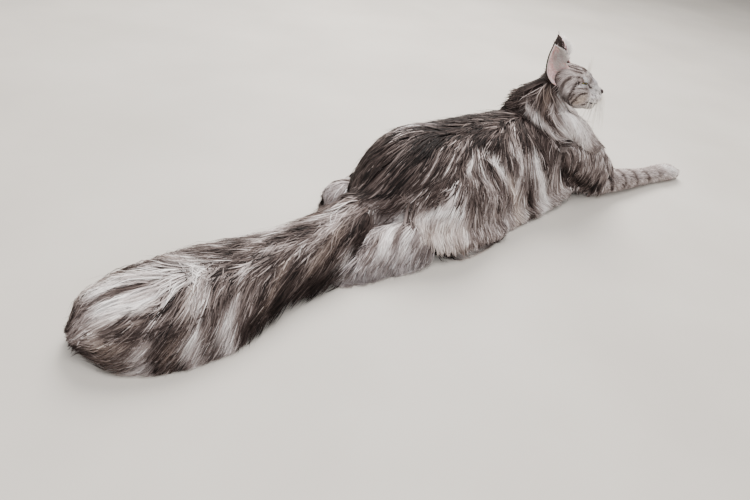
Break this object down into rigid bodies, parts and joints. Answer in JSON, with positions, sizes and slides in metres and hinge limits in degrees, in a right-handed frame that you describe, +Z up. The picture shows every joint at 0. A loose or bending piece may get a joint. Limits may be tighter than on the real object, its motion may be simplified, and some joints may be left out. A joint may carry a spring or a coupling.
{
  "type": "maine coon cat",
  "caption": "Life-size still model of a long-haired silver tabby cat lying at rest, head up and turned to its right, forelegs stretched forward, plumed tail laid out behind.",
  "frame": {"origin": "on the floor under the middle of the belly", "axes": "+X from tail to chest, +Y to the cat's left, +Z up"},
  "size_m": [1.1341, 0.2968, 0.26],
  "materials": {
    "coat": "long silver tabby fur",
    "skin": "thin bare skin with fine down",
    "eye": "wet gloss"
  },
  "bodies": {
    "root": {"torso": "coat", "hindleg_right": "coat", "hindleg_left": "coat", "foreleg_right": "coat", "foreleg_left": "coat", "head": "coat", "ear_right": "skin", "ear_left": "skin", "neck": "coat", "tail_root": "coat", "tail_middle": "coat", "tail_plume": "coat", "eye_right": "eye", "eye_left": "eye"}
  },
  "joints": []
}
